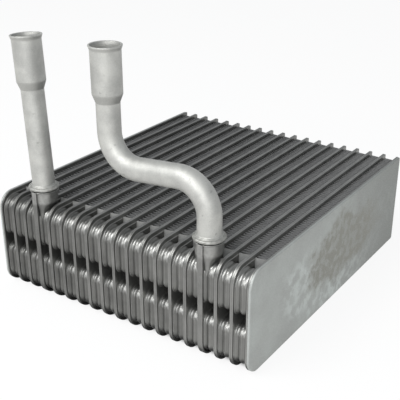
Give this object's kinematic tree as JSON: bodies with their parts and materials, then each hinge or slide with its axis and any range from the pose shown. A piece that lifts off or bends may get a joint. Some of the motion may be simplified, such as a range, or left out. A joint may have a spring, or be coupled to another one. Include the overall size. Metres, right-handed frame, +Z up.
{
  "type": "evaporator core",
  "caption": "Plate-and-fin cooling core: pressed tubes with folded fins between flat end plates, cup tanks at one end and two flared pipe sockets standing above it.",
  "frame": {"origin": "middle of the rectangle that the plates' lower edges stand on", "axes": "+X across the stack towards the outlet side, +Y from the tank end to the far end, +Z up, along the air flow and towards the sockets"},
  "size_m": [0.216, 0.2368, 0.1947],
  "materials": {
    "plates": "brazed, satin",
    "fins": "brazed, dull",
    "end_plates": "rolled sheet, dull",
    "pipes": "drawn tube, satin"
  },
  "bodies": {
    "root": {"end_plate_left": "end_plates", "end_plate_right": "end_plates", "fin_01": "fins", "fin_02": "fins", "fin_03": "fins", "fin_04": "fins", "fin_05": "fins", "fin_06": "fins", "fin_07": "fins", "fin_08": "fins", "fin_09": "fins", "fin_10": "fins", "fin_11": "fins", "fin_12": "fins", "fin_13": "fins", "fin_14": "fins", "fin_15": "fins", "fin_16": "fins", "fin_17": "fins", "fin_18": "fins", "inlet_pipe": "pipes", "outlet_pipe": "pipes", "plate_00_right": "plates", "plate_01_left": "plates", "plate_01_right": "plates", "plate_02_left": "plates", "plate_02_right": "plates", "plate_03_left": "plates", "plate_03_right": "plates", "plate_04_left": "plates", "plate_04_right": "plates", "plate_05_left": "plates", "plate_05_right": "plates", "plate_06_left": "plates", "plate_06_right": "plates", "plate_07_left": "plates", "plate_07_right": "plates", "plate_08_left": "plates", "plate_08_right": "plates", "plate_09_left": "plates", "plate_09_right": "plates", "plate_10_left": "plates", "plate_10_right": "plates", "plate_11_left": "plates", "plate_11_right": "plates", "plate_12_left": "plates", "plate_12_right": "plates", "plate_13_left": "plates", "plate_13_right": "plates", "plate_14_left": "plates", "plate_14_right": "plates", "plate_15_left": "plates", "plate_15_right": "plates", "plate_16_left": "plates", "plate_16_right": "plates", "plate_17_left": "plates", "plate_17_right": "plates", "plate_18_left": "plates"}
  },
  "joints": []
}
